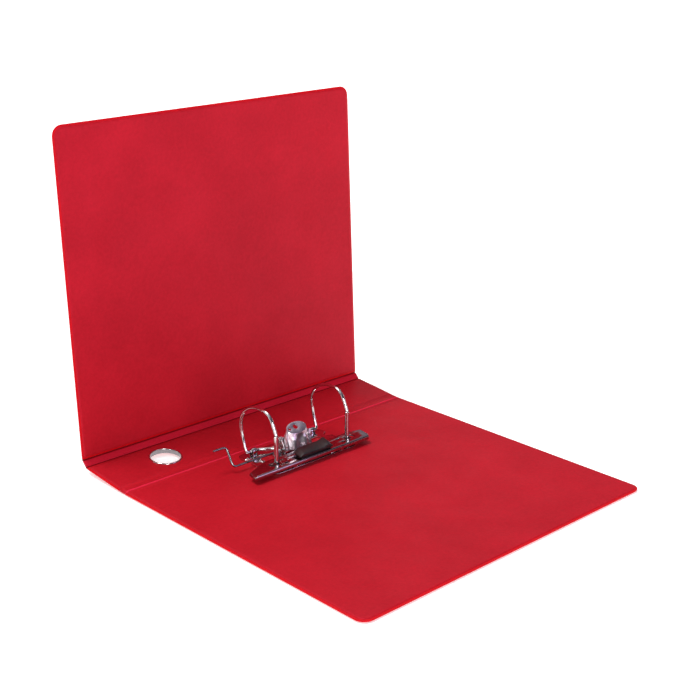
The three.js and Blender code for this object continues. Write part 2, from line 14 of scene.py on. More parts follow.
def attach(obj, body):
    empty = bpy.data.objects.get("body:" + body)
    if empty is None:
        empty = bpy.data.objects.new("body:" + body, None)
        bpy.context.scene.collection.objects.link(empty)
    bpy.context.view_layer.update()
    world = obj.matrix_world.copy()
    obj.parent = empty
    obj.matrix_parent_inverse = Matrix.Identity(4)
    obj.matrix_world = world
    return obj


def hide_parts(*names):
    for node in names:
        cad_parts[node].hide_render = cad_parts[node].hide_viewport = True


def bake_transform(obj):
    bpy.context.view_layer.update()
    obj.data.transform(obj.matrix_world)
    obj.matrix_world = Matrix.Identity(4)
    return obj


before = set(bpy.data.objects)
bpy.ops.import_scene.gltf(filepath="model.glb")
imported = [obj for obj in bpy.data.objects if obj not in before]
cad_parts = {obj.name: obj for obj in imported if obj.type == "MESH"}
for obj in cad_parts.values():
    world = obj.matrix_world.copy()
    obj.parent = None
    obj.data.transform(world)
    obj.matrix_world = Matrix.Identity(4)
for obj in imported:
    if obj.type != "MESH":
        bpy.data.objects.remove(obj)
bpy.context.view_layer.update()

MM = 0.001

# ---- dimensions that the CAD also has ------------------------------------------------------------

HALF_HEIGHT = 156.2
COVER_DEPTH = 277.6
SPINE_WIDTH = 48.7
STRIP_WIDTH = 7.4
CREASE_GAP = 0.6
REAR_CREASE = 2.5
FRONT_CREASE = 41.3
FORE_CORNER = 9
HINGE_CORNER = 1.5
PANEL_HALF = 1.5

MECHANISM_X = -1.3
POST_X = 40
POST_Y = 85.8
POST_TOP = 35.1
PLATE_BOTTOM, PLATE_TOP = 3.2, 4.4
RIVETS = [(-19, 84.5), (19, 84.5), (-9, 126.5), (9, 126.5)]
ARCH_HINGE_Y, ARCH_HINGE_Z = 124.6, 7.8
CROSSBAR_Y, CROSSBAR_HALF = 112.5, 10
WIRE_RADIUS = 1.4
PIVOT_Y, PIVOT_Z = 111.75, 16.35
ROLLER_Y, ROLLER_Z = 109.45, 10.85
RING_X = -93
LATCH_Y, LATCH_Z = 107.8, 8.8
LATCH_END, LATCH_CRANK = -14.3, -68.2
LATCH_RISER, LATCH_LEAN, LATCH_TIP = 17.7, 30, 13.5
LATCH_RADIUS, LATCH_BEND = 1.0, 4
LATCH_BEARING = -19.4
BORE = 1.1
EAR_LOW, EAR_HIGH = 14.2, 15.4
BAR_TOP, BAR_BOTTOM, BAR_SHEET = 10.8, 7.4, 1.0
BUTTON_FRONT, BUTTON_REAR, BUTTON_BASE = 77.9, 90.4, 12.4
CARD_LOW, CARD_HIGH = 3.6, 113.6

# ---- frames of the folded panels -----------------------------------------------------------------


def fold(start, y, degrees):
    """The frame past a crease: y along the panel before it, then a turn that folds its far side up."""
    turn = Matrix.Rotation(math.radians(degrees), 4, "X")
    return start @ Matrix.Translation((0, y, 0)) @ turn


BACK_FRAME = Matrix.Translation((0, COVER_DEPTH / 2, PANEL_HALF))
REAR_STRIP_FRAME = fold(BACK_FRAME, 0, REAR_CREASE)
SPINE_FRAME = fold(REAR_STRIP_FRAME, STRIP_WIDTH, REAR_CREASE)
FRONT_STRIP_FRAME = fold(SPINE_FRAME, SPINE_WIDTH, FRONT_CREASE)
FRONT_FRAME = fold(FRONT_STRIP_FRAME, STRIP_WIDTH, FRONT_CREASE)
MECHANISM_FRAME = Matrix.Translation((MECHANISM_X, 0, 0))

# ---- materials -----------------------------------------------------------------------------------


class Nodes:
    """A material's node tree, with short calls for the nodes that repeat."""

    def __init__(self, name):
        self.material = bpy.data.materials.new(name)
        self.material.use_nodes = True
        self.tree = self.material.node_tree
        self.shader = self.tree.nodes["Principled BSDF"]
        self.place = self.tree.nodes.new("ShaderNodeTexCoord").outputs["Object"]

    def set(self, **values):
        for key, value in values.items():
            self.shader.inputs[key.replace("_", " ")].default_value = value
        return self

    def link(self, output, socket):
        self.tree.links.new(output, self.shader.inputs[socket])

    def stretched(self, scale):
        node = self.tree.nodes.new("ShaderNodeMapping")
        node.inputs["Scale"].default_value = scale
        self.tree.links.new(self.place, node.inputs["Vector"])
        return node.outputs["Vector"]

    def noise(self, scale, detail=3, roughness=0.5, place=None):
        node = self.tree.nodes.new("ShaderNodeTexNoise")
        node.inputs["Scale"].default_value = scale
        node.inputs["Detail"].default_value = detail
        node.inputs["Roughness"].default_value = roughness
        self.tree.links.new(place or self.place, node.inputs["Vector"])
        return node.outputs["Fac"]

    def cells(self, scale, feature="F1"):
        node = self.tree.nodes.new("ShaderNodeTexVoronoi")
        node.feature = feature
        node.inputs["Scale"].default_value = scale
        self.tree.links.new(self.place, node.inputs["Vector"])
        return node.outputs["Distance"]

    def ramp(self, value, *stops):
        node = self.tree.nodes.new("ShaderNodeValToRGB")
        elements = node.color_ramp.elements
        while len(elements) < len(stops):
            elements.new(0.5)
        for element, (position, color) in zip(elements, stops):
            element.position = position
            element.color = (*color, 1)
        self.tree.links.new(value, node.inputs["Fac"])
        return node.outputs["Color"]

    def spread(self, value, low, high, start=0.0, end=1.0):
        node = self.tree.nodes.new("ShaderNodeMapRange")
        node.inputs["From Min"].default_value = start
        node.inputs["From Max"].default_value = end
        node.inputs["To Min"].default_value = low
        node.inputs["To Max"].default_value = high
        self.tree.links.new(value, node.inputs["Value"])
        return node.outputs["Result"]

    def math(self, operation, a, b):
        node = self.tree.nodes.new("ShaderNodeMath")
        node.operation = operation
        for socket, value in zip(node.inputs, (a, b)):
            if isinstance(value, (int, float)):
                socket.default_value = value
            else:
                self.tree.links.new(value, socket)
        return node.outputs["Value"]

    def bump(self, height, depth, strength=1.0, under=None):
        """Relief of that depth in metres. A second relief can lie under it."""
        node = self.tree.nodes.new("ShaderNodeBump")
        node.inputs["Distance"].default_value = depth
        node.inputs["Strength"].default_value = strength
        self.tree.links.new(height, node.inputs["Height"])
        if under is not None:
            self.tree.links.new(under, node.inputs["Normal"])
        self.link(node.outputs["Normal"], "Normal")
        return node.outputs["Normal"]


def film(name, base, deep, roughness, grain_depth):
    """Plastic film over board: a fine pebbled grain, clouding and mottling in the colour, a rosy sheen."""
    nodes = Nodes(name)
    clouds = nodes.noise(14, detail=4, roughness=0.6)
    mottle = nodes.noise(330, detail=6, roughness=0.75)
    shade = nodes.math("ADD", nodes.math("MULTIPLY", clouds, 0.45), nodes.math("MULTIPLY", mottle, 0.55))
    nodes.link(nodes.ramp(shade, (0.36, deep), (0.64, base)), "Base Color")
    patches = nodes.noise(45, detail=5)
    nodes.link(nodes.spread(patches, roughness - 0.06, roughness + 0.06, 0.3, 0.7), "Roughness")
    waves = nodes.bump(nodes.noise(24, detail=2), 0.0006, 0.35)
    pebbles = nodes.bump(nodes.cells(1150, "SMOOTH_F1"), grain_depth, 0.8, under=waves)
    nodes.bump(nodes.noise(2600, detail=2), grain_depth * 0.5, 0.6, under=pebbles)
    nodes.set(Specular_IOR_Level=0.16, Specular_Tint=(1, 0.3, 0.6, 1), IOR=1.5)
    return nodes.material


def metal(name, light, dark, roughness, spread, depth, scale=500):
    """Plated steel: a slight mottle in the plating, and a surface that is nearly but not quite true."""
    nodes = Nodes(name)
    mottle = nodes.noise(scale, detail=4, roughness=0.65)
    nodes.link(nodes.ramp(mottle, (0.35, dark), (0.65, light)), "Base Color")
    smudges = nodes.noise(60, detail=3)
    nodes.link(nodes.spread(smudges, roughness - spread, roughness + spread, 0.3, 0.7), "Roughness")
    waves = nodes.bump(nodes.noise(90, detail=1), depth * 6, 0.4)
    nodes.bump(nodes.noise(scale * 3, detail=2), depth, 0.7, under=waves)
    nodes.set(Metallic=1.0)
    return nodes.material


FILM_INSIDE = film("cover_film_inside", (0.53, 0.0112, 0.022), (0.395, 0.0076, 0.0145), 0.46, 0.00003)
FILM_OUTSIDE = film("cover_film_outside", (0.56, 0.0095, 0.023), (0.42, 0.006, 0.014), 0.4, 0.00006)
# Pinker than the covers' film: partly the strip's own tint, partly a painted pink highlight on the strip.
FILM_STRIP = film("hinge_film", (0.56, 0.011, 0.030), (0.50, 0.009, 0.024), 0.34, 0.00003)
# Near-black red for the front hinge's creases: painted shade in the grooves beside the strip.
FILM_CREASE_SHADE = film("crease_painted_shade_film", (0.22, 0.004, 0.005), (0.18, 0.003, 0.004), 0.5, 0.00002)
# Lighter red for the welded rims and a flush crease band: a painted edge highlight.
FILM_RIM_HIGHLIGHT = film("welded_rim_painted_highlight_film", (0.62, 0.006, 0.010), (0.56, 0.005, 0.009), 0.36, 0.00002)
# Bright pink for the rear crease's bead: a painted highlight.
FILM_BEAD_HIGHLIGHT = film("bead_painted_highlight_film", (0.74, 0.022, 0.060), (0.66, 0.018, 0.050), 0.34, 0.00002)
NICKEL = metal("bright_nickel", (0.66, 0.64, 0.64), (0.56, 0.54, 0.54), 0.08, 0.03, 0.000006)
BRUSHED = metal("brushed_nickel", (0.42, 0.35, 0.37), (0.30, 0.25, 0.27), 0.15, 0.04, 0.000012)
SATIN = metal("satin_nickel", (0.93, 0.86, 0.92), (0.74, 0.65, 0.70), 0.3, 0.07, 0.00004, 900)
DARK_STEEL = metal("dark_steel", (0.34, 0.33, 0.34), (0.24, 0.23, 0.24), 0.2, 0.05, 0.00001)
SPRING_STEEL = metal("spring_steel", (0.5, 0.5, 0.52), (0.36, 0.36, 0.38), 0.3, 0.06, 0.00002)


def greyboard():
    nodes = Nodes("greyboard")
    fibres = nodes.noise(900, detail=5, roughness=0.7, place=nodes.stretched((1, 0.25, 1)))
    nodes.link(nodes.ramp(fibres, (0.3, (0.2, 0.18, 0.15)), (0.7, (0.34, 0.32, 0.27))), "Base Color")
    nodes.bump(fibres, 0.00008, 0.6)
    nodes.set(Roughness=0.92)
    return nodes.material


def moulded_black():
    nodes = Nodes("moulded_black")
    flow = nodes.noise(160, detail=3)
    nodes.link(nodes.ramp(flow, (0.3, (0.005, 0.003, 0.004)), (0.7, (0.012, 0.007, 0.008))), "Base Color")
    nodes.link(nodes.spread(flow, 0.36, 0.5, 0.3, 0.7), "Roughness")
    nodes.bump(nodes.noise(3000, detail=2), 0.00002, 0.6)
    return nodes.material


def clear_film():
    nodes = Nodes("clear_film")
    haze = nodes.noise(80, detail=3)
    nodes.link(nodes.spread(haze, 0.08, 0.2, 0.3, 0.7), "Roughness")
    nodes.bump(nodes.noise(35, detail=2), 0.0004, 0.3)
    nodes.set(Base_Color=(0.95, 0.9, 0.93, 1), Alpha=0.22, IOR=1.45)
    return nodes.material


def weld_film():
    nodes = Nodes("weld_film")
    nodes.link(nodes.spread(nodes.noise(700, detail=2), 0.25, 0.45, 0.3, 0.7), "Roughness")
    nodes.bump(nodes.noise(1500, detail=2), 0.00005, 0.7)
    nodes.set(Base_Color=(0.8, 0.25, 0.32, 1), Alpha=0.55)
    return nodes.material


def paper(name, light, dark):
    nodes = Nodes(name)
    fibres = nodes.noise(1400, detail=4, roughness=0.7)
    nodes.link(nodes.ramp(fibres, (0.3, dark), (0.7, light)), "Base Color")
    nodes.bump(fibres, 0.00002, 0.5)
    nodes.set(Roughness=0.75)
    return nodes.material


GREYBOARD = greyboard()
BLACK = moulded_black()
CLEAR = clear_film()
WELD = weld_film()
CARD = paper("label_paper", (0.66, 0.66, 0.82), (0.58, 0.58, 0.75))
RED_INK = paper("red_ink", (0.62, 0.12, 0.17), (0.52, 0.08, 0.13))
GREY_INK = paper("grey_ink", (0.14, 0.14, 0.24), (0.10, 0.10, 0.18))

# ---- mesh making ---------------------------------------------------------------------------------


def smooth(mesh, degrees=32):
    """Smooth shading with sharp edges where the surface turns by more than that."""
    for polygon in mesh.polygons:
        polygon.use_smooth = True
    mesh.set_sharp_from_angle(angle=math.radians(degrees))


def piece(name, bm, materials, body, place=MECHANISM_FRAME, replaced=(), bevel=0, segments=2):
    """Turns a bmesh in millimetres into a finished piece that rides on a body."""
    bmesh.ops.recalc_face_normals(bm, faces=bm.faces)
    mesh = bpy.data.meshes.new(name)
    bm.to_mesh(mesh)
    bm.free()
    item = bpy.data.objects.new(name, mesh)
    bpy.context.scene.collection.objects.link(item)
    for material in materials if isinstance(materials, (list, tuple)) else [materials]:
        mesh.materials.append(material)
    if bevel:
        rounding = item.modifiers.new("rounding", "BEVEL")
        rounding.width = bevel
        rounding.segments = segments
        rounding.limit_method = "ANGLE"
        rounding.angle_limit = math.radians(35)
        rounding.use_clamp_overlap = True
        bake_modifiers(item)
    item.data.transform(Matrix.Scale(MM, 4) @ place)
    smooth(item.data)
    if body:
        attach(item, body)
    if replaced:
        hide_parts(*replaced)
    return item


def bake_modifiers(item):
    graph = bpy.context.evaluated_depsgraph_get()
    mesh = bpy.data.meshes.new_from_object(item.evaluated_get(graph))
    item.modifiers.clear()
    item.data = mesh


def loop_of(bm, points):
    return [bm.verts.new(point) for point in points]


def bridge(bm, first, second, closed=True, material=0):
    count = len(first)
    for i in range(count if closed else count - 1):
        j = (i + 1) % count
        face = bm.faces.new((first[i], first[j], second[j], second[i]))
        face.material_index = material


def skin_loops(bm, loops, closed=True, materials=None):
    """Joins a stack of vertex loops into one surface."""
    made = [loop_of(bm, loop) for loop in loops]
    for i, (first, second) in enumerate(zip(made, made[1:])):
        bridge(bm, first, second, closed, materials[i] if materials else 0)
    return made


def fill(bm, *loops, material=0):
    """A flat face inside the first loop and outside the others."""
    if len(loops) == 1:
        faces = [bm.faces.new(loops[0])]
    else:
        edges = []
        for loop in loops:
            for a, b in zip(loop, loop[1:] + loop[:1]):
                edges.append(bm.edges.get((a, b)) or bm.edges.new((a, b)))
        made = bmesh.ops.triangle_fill(bm, edges=edges, use_beauty=True)
        faces = [item for item in made["geom"] if isinstance(item, bmesh.types.BMFace)]
    for face in faces:
        face.material_index = material


def rounded(x, y, radii, inset=0.0, steps=8):
    """A rectangle's outline. radii are those of its low-y corners and of its high-y corners."""
    low, high = (max(radius - inset, 0.35) for radius in radii)
    x0, x1, y0, y1 = x[0] + inset, x[1] - inset, y[0] + inset, y[1] - inset
    corners = [
        (x0 + low, y0 + low, low, 180),
        (x1 - low, y0 + low, low, 270),
        (x1 - high, y1 - high, high, 0),
        (x0 + high, y1 - high, high, 90),
    ]
    points = []
    for cx, cy, radius, start in corners:
        for i in range(steps + 1):
            angle = math.radians(start + 90 * i / steps)
            points.append((cx + radius * math.cos(angle), cy + radius * math.sin(angle)))
    return points


def circle(x, y, radius, sides=32):
    turns = [2 * math.pi * i / sides for i in range(sides)]
    return [(x + radius * math.cos(turn), y + radius * math.sin(turn)) for turn in turns]


def inset_polygon(points, by):
    """A convex anticlockwise outline with each side moved inwards."""
    moved = []
    count = len(points)
    for i in range(count):
        before, at, after = (Vector(points[(i + k) % count]) for k in (-1, 0, 1))
        first = (at - before).normalized()
        second = (after - at).normalized()
        inward = Vector((-first.y, first.x)) + Vector((-second.y, second.x))
        moved.append(at + inward.normalized() * by / max(inward.length / 2, 0.2))
    return [tuple(point) for point in moved]


def prism(bm, outline, low, high, holes=(), across="Z"):
    """An outline between two levels. Across X, the outline is in Y and Z; across Y, in X and Z."""
    place = {
        "Z": lambda u, v, w: (u, v, w),
        "X": lambda u, v, w: (w, u, v),
        "Y": lambda u, v, w: (u, w, v),
    }[across]
    rings = [outline, *holes]
    lows = [loop_of(bm, [place(u, v, low) for u, v in ring]) for ring in rings]
    highs = [loop_of(bm, [place(u, v, high) for u, v in ring]) for ring in rings]
    for first, second in zip(lows, highs):
        bridge(bm, first, second)
    fill(bm, *lows)
    fill(bm, *highs)


def turned(bm, profile, x, y, sides=48, turn=None):
    """A profile of (radius, height) turned about a vertical axis. Radius 0 closes on the axis."""
    rings = []
    for radius, height in profile:
        if radius == 0:
            rings.append([bm.verts.new((x, y, height))])
        else:
            rings.append(loop_of(bm, [(*point, height) for point in circle(x, y, radius, sides)]))
    for first, second in zip(rings, rings[1:]):
        if len(first) == 1 or len(second) == 1:
            tip, ring = (first[0], second) if len(first) == 1 else (second[0], first)
            if len(ring) > 1:
                for i in range(sides):
                    bm.faces.new((tip, ring[i], ring[(i + 1) % sides]))
        else:
            bridge(bm, first, second)
    if turn:
        bmesh.ops.transform(bm, matrix=turn, verts=[v for ring in rings for v in ring])


def rod(bm, radius, low, high, y, z, sides=32, edge=0.2):
    """A rod along X with softened ends."""
    profile = [(0, low), (radius - edge, low), (radius, low + edge)]
    profile += [(radius, high - edge), (radius - edge, high), (0, high)]
    upright_to_x = Matrix(((0, 0, 1, 0), (1, 0, 0, y), (0, 1, 0, z), (0, 0, 0, 1)))
    turned(bm, profile, 0, 0, sides, turn=upright_to_x)


def sweep(bm, points, radius, sides=20, taper=None):
    """A round wire along points, with a frame carried from each point to the next."""
    points = [Vector(point) for point in points]
    tangents = []
    for i in range(len(points)):
        before, after = points[max(i - 1, 0)], points[min(i + 1, len(points) - 1)]
        tangents.append((after - before).normalized())
    side = tangents[0].orthogonal().normalized()
    rings = []
    for i, (point, tangent) in enumerate(zip(points, tangents)):
        side = (side - tangent * side.dot(tangent)).normalized()
        other = tangent.cross(side)
        size = radius * (taper[i] if taper else 1)
        turns = [2 * math.pi * k / sides for k in range(sides)]
        rings.append([point + size * (side * math.cos(t) + other * math.sin(t)) for t in turns])
    made = skin_loops(bm, rings)
    fill(bm, made[0])
    fill(bm, made[-1])


def bezier(controls, count):
    """That many points on a Bezier curve, without its start."""
    points = []
    degree = len(controls) - 1
    for k in range(1, count + 1):
        t = k / count
        point = Vector((0, 0, 0))
        for i, control in enumerate(controls):
            weight = math.comb(degree, i) * t**i * (1 - t) ** (degree - i)
            point += weight * Vector(control)
        points.append(point)
    return points


def bent(corners, radius, per_bend=8, per_run=2):
    """Straight runs between corners, each corner rounded, as the points of a wire."""
    corners = [Vector(corner) for corner in corners]
    points = [corners[0]]
    for before, at, after in zip(corners, corners[1:], corners[2:]):
        start = at + (before - at).normalized() * radius
        end = at + (after - at).normalized() * radius
        last = points[-1]
        points += [last.lerp(start, k / per_run) for k in range(1, per_run + 1)]
        points += bezier([start, at, end], per_bend)
    last = points[-1]
    points += [last.lerp(corners[-1], k / per_run) for k in range(1, per_run + 1)]
    return points


# ---- covers and spine ----------------------------------------------------------------------------

# Half of a panel's section from its edge inwards, as (inset, height): a thin welded rim, then a shoulder
# where the film climbs onto the board.
RIM_SECTION = [
    (0.0, 0.25),
    (0.12, 0.5),
    (0.4, 0.62),
    (1.3, 0.6),
    (1.6, 0.72),
    (1.8, 1.02),
    (2.1, 1.32),
    (2.6, 1.46),
    (3.2, 1.5),
    (4.4, 1.5),
]
RIM_FACES = 4  # bands of that section, from the edge, that are bare welded film


def panel(name, place, y, radii, body, replaced, hole=None):
    """A cover or the spine: one closed wrap, outside film below its rim's middle and inside film above."""
    x = (-HALF_HEIGHT, HALF_HEIGHT)
    bm = bmesh.new()
    below = [[(*p, -height) for p in rounded(x, y, radii, inset)] for inset, height in RIM_SECTION]
    above = [[(*p, height) for p in rounded(x, y, radii, inset)] for inset, height in RIM_SECTION]
    count = len(RIM_SECTION)
    rim = RIM_FACES
    bands = [1] * (count - 1 - rim) + [2] * (2 * rim + 1) + [0] * (count - 1 - rim)
    made = skin_loops(bm, below[::-1] + above, materials=bands)
    holes = []
    if hole:
        for height in (-PANEL_HALF, PANEL_HALF):
            holes.append(loop_of(bm, [(*p, height) for p in circle(*hole, 64)]))
        bridge(bm, *holes)
    fill(bm, made[0], *holes[:1], material=1)
    fill(bm, made[-1], *holes[1:], material=0)
    # The welded rim's bands take a lighter film: a painted edge highlight.
    films = [FILM_INSIDE, FILM_OUTSIDE, FILM_RIM_HIGHLIGHT]
    return piece(name, bm, films, body, place, replaced)


# The inner side of a film over a crease: its surface as (distance past the panel's crease, height) points,
# its film, and the band that is pressed in or beaded up, with that band's film: painted shade in the front
# groove, a painted highlight on the rear bead and on the flush band.
GROOVED = {
    "surface": [(-1.9, 0.5), (-1.1, 0.5), (-0.6, 0.12), (-0.2, -0.1), (0.3, -0.05), (0.8, 0.25),
                (1.5, 0.62), (2.4, 0.76), (3.7, 0.8)],
    # The strip's film is pinker: partly a painted pink highlight.
    "film": FILM_STRIP,
    "band": (-1.0, 0.75),
    # The pressed band takes a near-black film: painted shade in the crease.
    "band_painted_light_film": FILM_CREASE_SHADE,
}
FLUSH = {
    "surface": [(-4.4, 1.44), (-3.6, 1.54), (-0.7, 1.54), (0, 1.5), (0.8, 1.58), (3.7, 1.7)],
    "film": FILM_INSIDE,
    "band": (-0.3, 0.3),
    # The band over the crease takes the rim's lighter film: a painted highlight.
    "band_painted_light_film": FILM_RIM_HIGHLIGHT,
}
BEADED = {
    "surface": [(-4.4, 1.44), (-3.6, 1.54), (-0.5, 1.54), (-0.1, 1.7), (0.35, 2.05), (0.8, 2.1), (1.4, 1.9),
                (3.7, 1.7)],
    "film": FILM_INSIDE,
    "band": (-0.5, 1.0),
    # The bead takes a bright pink film: a painted highlight.
    "band_painted_light_film": FILM_BEAD_HIGHLIGHT,
}
STRIP_INSET = 0.3  # how far a strip stops short of the covers' ends
END_TAPER = [(0, 0.58), (1.3, 0.6), (2.9, 9)]  # from an end of the strip: how high its film can stand


def relief(points, distance):
    for (start, low), (end, high) in zip(points, points[1:]):
        if distance <= end:
            t = min(max((distance - start) / (end - start), 0), 1)
            return low + (high - low) * t * t * (3 - 2 * t)
    return points[-1][1]


def film_section(degrees, start, end, steps=36, reach=1.1):
    """The middle line of a film over a crease, in the frame past the crease, as (s, y, z, heading) rows.

    The film turns smoothly by that angle within reach of the crease, and is flat beyond it.
    """
    turn = math.radians(degrees)

    def heading(s):
        t = min(max((s + reach) / (2 * reach), 0), 1)
        return turn * (t * t * (3 - 2 * t) - 1)

    def walk(to, count=60):
        y = z = 0
        step = to / count
        for i in range(count):
            angle = heading((i + 0.5) * step)
            y += step * math.cos(angle)
            z += step * math.sin(angle)
        return y, z

    lift = -walk(reach)[1] / math.cos(turn / 2)
    rows = []
    for i in range(steps + 1):
        s = start + (end - start) * i / steps
        y, z = walk(s)
        rows.append((s, y + lift * math.sin(turn / 2), z + lift * math.cos(turn / 2), heading(s)))
    return rows


def hinge_half(name, place, degrees, past, node, shape):
    """Half of a hinge strip, over one crease: from a panel's rim to the strip's middle."""
    left, right = -HALF_HEIGHT + STRIP_INSET, HALF_HEIGHT - STRIP_INSET
    span = sorted((past * shape["surface"][0][0], past * STRIP_WIDTH / 2))
    bm = bmesh.new()
    loops, in_band = [], []
    for s, y, z, heading in film_section(degrees, *span):
        up = (-math.sin(heading), math.cos(heading))
        top, bottom = relief(shape["surface"], s * past), -0.5
        low = (y + bottom * up[0], z + bottom * up[1])
        heights = [(inwards, min(top, limit)) for inwards, limit in END_TAPER]
        loop = [(left, *low), (right, *low)]
        loop += [(right - inwards, y + h * up[0], z + h * up[1]) for inwards, h in heights]
        loop += [(left + inwards, y + h * up[0], z + h * up[1]) for inwards, h in reversed(heights)]
        loops.append(loop)
        in_band.append(shape["band"][0] < s * past < shape["band"][1])
    made = [loop_of(bm, loop) for loop in loops]
    for k, (first, second) in enumerate(zip(made, made[1:])):
        # Faces in the band take the band's film, which paints shade in a groove and a highlight on a bead and
        # on a flush band.
        upper = 2 if in_band[k] and in_band[k + 1] else 0
        for i in range(len(first)):
            j = (i + 1) % len(first)
            face = bm.faces.new((first[i], first[j], second[j], second[i]))
            face.material_index = upper if i else 1
    fill(bm, made[0])
    fill(bm, made[-1])
    films = [shape["film"], FILM_OUTSIDE, shape["band_painted_light_film"]]
    item = piece(name, bm, films, None, place, [node])
    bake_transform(item)
    return item


panel(
    "back_cover_wrap",
    BACK_FRAME,
    (-COVER_DEPTH, -CREASE_GAP),
    (FORE_CORNER, HINGE_CORNER),
    "back_cover",
    ["back_outer_skin", "back_inner_skin"],
)
panel(
    "spine_wrap",
    SPINE_FRAME,
    (CREASE_GAP, SPINE_WIDTH - CREASE_GAP),
    (HINGE_CORNER, HINGE_CORNER),
    "spine",
    ["spine_outer_skin", "spine_inner_skin"],
    hole=(RING_X, SPINE_WIDTH / 2, 13.7),
)
panel(
    "front_cover_wrap",
    FRONT_FRAME,
    (CREASE_GAP, COVER_DEPTH),
    (HINGE_CORNER, FORE_CORNER),
    "front_cover",
    ["front_outer_skin", "front_inner_skin"],
)

HINGES = [  # name, frame past the crease, angle, which way the strip lies, bodies, shape
    ("rear_strip_near", REAR_STRIP_FRAME, REAR_CREASE, 1, "back_cover", "rear_strip", BEADED),
    ("rear_strip_far", SPINE_FRAME, REAR_CREASE, -1, "rear_strip", "spine", FLUSH),
    ("front_strip_near", FRONT_STRIP_FRAME, FRONT_CREASE, 1, "spine", "front_strip", GROOVED),
    ("front_strip_far", FRONT_FRAME, FRONT_CREASE, -1, "front_strip", "front_cover", GROOVED),
]
for name, place, degrees, past, before, after, shape in HINGES:
    node = "rear_hinge_strip" if name.startswith("rear") else "front_hinge_strip"
    hinge_half(name, place, degrees, past, node, shape)

# ---- thumb ring and label ------------------------------------------------------------------------


def revolved(bm, profile, x, y, sides=96):
    """A closed profile of (radius, height), turned into a ring about a vertical axis."""
    rings = [loop_of(bm, [(*p, height) for p in circle(x, y, radius, sides)]) for radius, height in profile]
    for first, second in zip(rings, rings[1:] + rings[:1]):
        bridge(bm, first, second)


def thumb_ring():
    outer = [(13.0, 1.55), (13.0, -1.6), (13.06, -1.85), (13.25, -2.08), (13.6, -2.23), (14.2, -2.3)]
    outer += [(14.9, -2.28), (15.5, -2.16), (15.95, -1.94), (16.17, -1.68), (16.2, -1.53)]
    outer += [(13.4, -1.53), (13.4, 1.55)]
    inner = [(13.0, 1.56), (13.0, 1.9), (13.1, 2.12), (13.3, 2.25), (13.6, 2.3), (13.9, 2.25)]
    inner += [(14.2, 2.08), (14.36, 1.84), (14.4, 1.56)]
    for name, profile in (("thumb_ring_outside", outer), ("thumb_ring_inside", inner)):
        bm = bmesh.new()
        revolved(bm, profile, RING_X, SPINE_WIDTH / 2)
        for face in bm.faces:
            from_axis = face.calc_center_median() - Vector((RING_X, SPINE_WIDTH / 2, 0))
            # The bore's wall takes dark steel: painted shade inside the ring's hole.
            face.material_index = int(from_axis.xy.length < 13.04)
        node = "thumb_ring_outer" if name.endswith("outside") else "thumb_ring_inner"
        piece(name, bm, [NICKEL, DARK_STEEL], "spine", SPINE_FRAME, [node])


def label():
    """The printed card: three ruled lines, a plain rule at its head, and a framed block of bars."""
    y = SPINE_WIDTH / 2
    half = 15.75
    face, back = -1.85, -1.55
    ink = face - 0.012
    length = CARD_HIGH - CARD_LOW
    bm = bmesh.new()
    prism(bm, rounded((CARD_LOW, CARD_HIGH), (y - half, y + half), (2.5, 2.5)), face, back)
    card_faces = len(bm.faces)

    def mark(x0, x1, y0, y1):
        prism(bm, [(x0, y0), (x1, y0), (x1, y1), (x0, y1)], ink, face)

    for share in (0.32, 0.5, 0.67):
        x = CARD_HIGH - length * share
        mark(x - 0.15, x + 0.15, y - half + 1, y + half - 1)
    mark(CARD_HIGH - 12.3, CARD_HIGH - 12, y - 11, y + 11)
    low, high = CARD_HIGH - length * 0.98, CARD_HIGH - length * 0.83
    for x0, x1, y0, y1 in (
        (low, high, y - 9.6, y - 9.4),
        (low, high, y + 9.4, y + 9.6),
        (low, low + 0.2, y - 9.4, y + 9.4),
        (high - 0.2, high, y - 9.4, y + 9.4),
    ):
        mark(x0, x1, y0, y1)
    red_faces = len(bm.faces)
    at = y - 7.6
    for i in range(18):
        width = (0.3, 0.6, 0.3, 0.9, 0.45)[i % 5]
        mark(low + 2.2, high - 2.6, at, at + width)
        at += width + (0.35, 0.3, 0.55)[i % 3]
    bm.faces.ensure_lookup_table()
    for i, face_ in enumerate(bm.faces):
        face_.material_index = 0 if i < card_faces else 1 if i < red_faces else 2
    piece("label_insert", bm, [CARD, RED_INK, GREY_INK], "card", SPINE_FRAME, ["label_card"])


